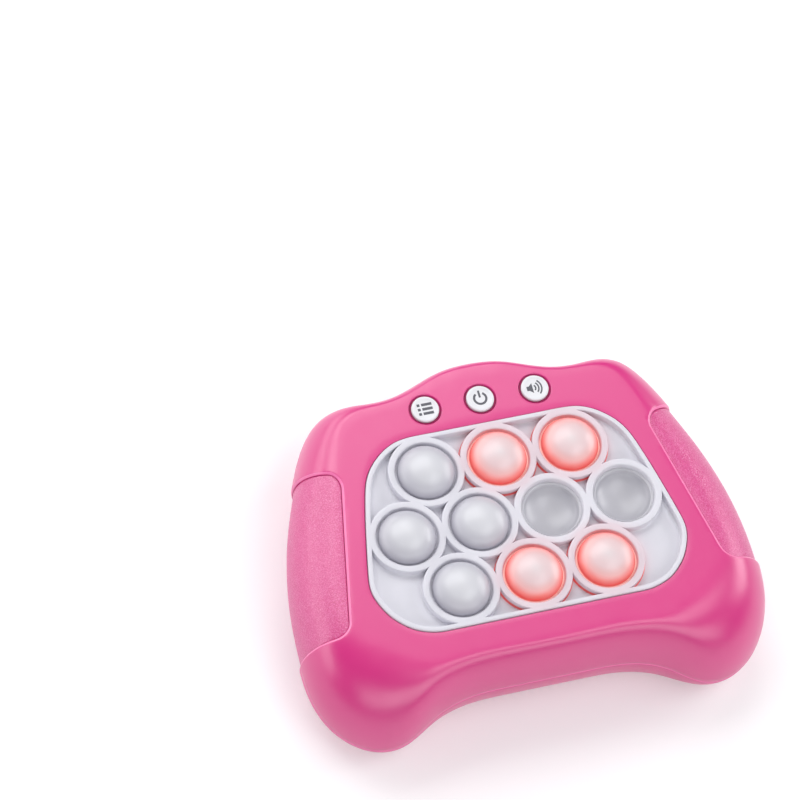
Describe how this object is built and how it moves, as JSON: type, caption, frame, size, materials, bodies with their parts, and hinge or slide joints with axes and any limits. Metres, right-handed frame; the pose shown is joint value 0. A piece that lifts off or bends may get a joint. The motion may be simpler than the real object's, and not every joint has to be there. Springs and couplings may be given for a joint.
{
  "type": "electronic bubble pop game",
  "caption": "Hand-held electronic bubble pop game: pink padded controller body, silicone panel of light-up push-through bubbles, push buttons and a battery bay.",
  "frame": {"origin": "under the middle of the pad, on the flat of its back", "axes": "+X to the player's right, +Y towards the edge with the buttons, +Z out of the bubble face"},
  "size_m": [0.15, 0.1156, 0.0404],
  "materials": {
    "pink_plastic": "satin moulded pink plastic",
    "grip_plastic": "fine spark texture",
    "pearl_silicone": "pearly white silicone",
    "bubble_silicone": "pearly translucent silicone, unlit",
    "lit_silicone": "translucent silicone lit red from below",
    "white_plastic": "satin white",
    "board_green": "solder mask",
    "led_white": "clear lens over a light chip",
    "black_plastic": "moulded",
    "steel": "nickel plated",
    "red_wire": "insulation",
    "black_wire": "insulation",
    "cell_jacket": "plain jacket"
  },
  "bodies": {
    "housing": {"front_shell": "pink_plastic", "rear_shell": "pink_plastic", "left_grip": "grip_plastic", "right_grip": "grip_plastic", "bubble_mat": "pearl_silicone", "mat_frame": "white_plastic", "circuit_board": "board_green", "led_1": "led_white", "led_2": "led_white", "led_3": "led_white", "led_4": "led_white", "led_5": "led_white", "led_6": "led_white", "led_7": "led_white", "led_8": "led_white", "led_9": "led_white", "led_10": "led_white", "menu_switch": "black_plastic", "power_switch": "black_plastic", "volume_switch": "black_plastic", "controller_chip": "black_plastic", "speaker": "black_plastic", "housing_screw_1": "steel", "housing_screw_2": "steel", "housing_screw_3": "steel", "housing_screw_4": "steel", "board_screw_1": "steel", "board_screw_2": "steel", "board_screw_3": "steel", "board_screw_4": "steel", "battery_cell_1": "cell_jacket", "battery_cell_2": "cell_jacket", "battery_cell_3": "cell_jacket", "contact_link_left": "steel", "contact_link_right": "steel", "contact_positive": "steel", "contact_negative": "steel", "battery_lead_red": "red_wire", "battery_lead_black": "black_wire", "speaker_lead_red": "red_wire", "speaker_lead_black": "black_wire"},
    "bubble_1": {"bubble_1": "bubble_silicone"},
    "bubble_2": {"bubble_2": "lit_silicone"},
    "bubble_3": {"bubble_3": "lit_silicone"},
    "bubble_4": {"bubble_4": "bubble_silicone"},
    "bubble_5": {"bubble_5": "bubble_silicone"},
    "bubble_6": {"bubble_6": "bubble_silicone"},
    "bubble_7": {"bubble_7": "bubble_silicone"},
    "bubble_8": {"bubble_8": "bubble_silicone"},
    "bubble_9": {"bubble_9": "lit_silicone"},
    "bubble_10": {"bubble_10": "lit_silicone"},
    "menu_button": {"menu_button": "white_plastic"},
    "power_button": {"power_button": "white_plastic"},
    "volume_button": {"volume_button": "white_plastic"},
    "battery_door": {"battery_door": "pink_plastic", "door_screw": "steel"}
  },
  "joints": [
    {"name": "pop_1", "type": "slide", "parent": "housing", "child": "bubble_1", "axis": [0, 0, 1], "range_m": [-0.0094, 0]},
    {"name": "pop_2", "type": "slide", "parent": "housing", "child": "bubble_2", "axis": [0, 0, 1], "range_m": [-0.0094, 0]},
    {"name": "pop_3", "type": "slide", "parent": "housing", "child": "bubble_3", "axis": [0, 0, 1], "range_m": [-0.0094, 0]},
    {"name": "pop_4", "type": "slide", "parent": "housing", "child": "bubble_4", "axis": [0, 0, 1], "range_m": [-0.0094, 0]},
    {"name": "pop_5", "type": "slide", "parent": "housing", "child": "bubble_5", "axis": [0, 0, 1], "range_m": [-0.0094, 0]},
    {"name": "pop_6", "type": "slide", "parent": "housing", "child": "bubble_6", "axis": [0, 0, 1], "range_m": [0, 0.0094]},
    {"name": "pop_7", "type": "slide", "parent": "housing", "child": "bubble_7", "axis": [0, 0, 1], "range_m": [0, 0.0094]},
    {"name": "pop_8", "type": "slide", "parent": "housing", "child": "bubble_8", "axis": [0, 0, 1], "range_m": [-0.0094, 0]},
    {"name": "pop_9", "type": "slide", "parent": "housing", "child": "bubble_9", "axis": [0, 0, 1], "range_m": [-0.0094, 0]},
    {"name": "pop_10", "type": "slide", "parent": "housing", "child": "bubble_10", "axis": [0, 0, 1], "range_m": [-0.0094, 0]},
    {"name": "menu_press", "type": "slide", "parent": "housing", "child": "menu_button", "axis": [0, 0, 1], "range_m": [-0.0008, 0], "stiffness_N_per_m": 600},
    {"name": "power_press", "type": "slide", "parent": "housing", "child": "power_button", "axis": [0, 0, 1], "range_m": [-0.0008, 0], "stiffness_N_per_m": 600},
    {"name": "volume_press", "type": "slide", "parent": "housing", "child": "volume_button", "axis": [0, 0, 1], "range_m": [-0.0008, 0], "stiffness_N_per_m": 600},
    {"name": "battery_door_tilt", "type": "hinge", "parent": "housing", "child": "battery_door", "pos_m": [0, 0.01195, 0], "axis": [1, 0, 0], "range_deg": [0, 35]}
  ]
}
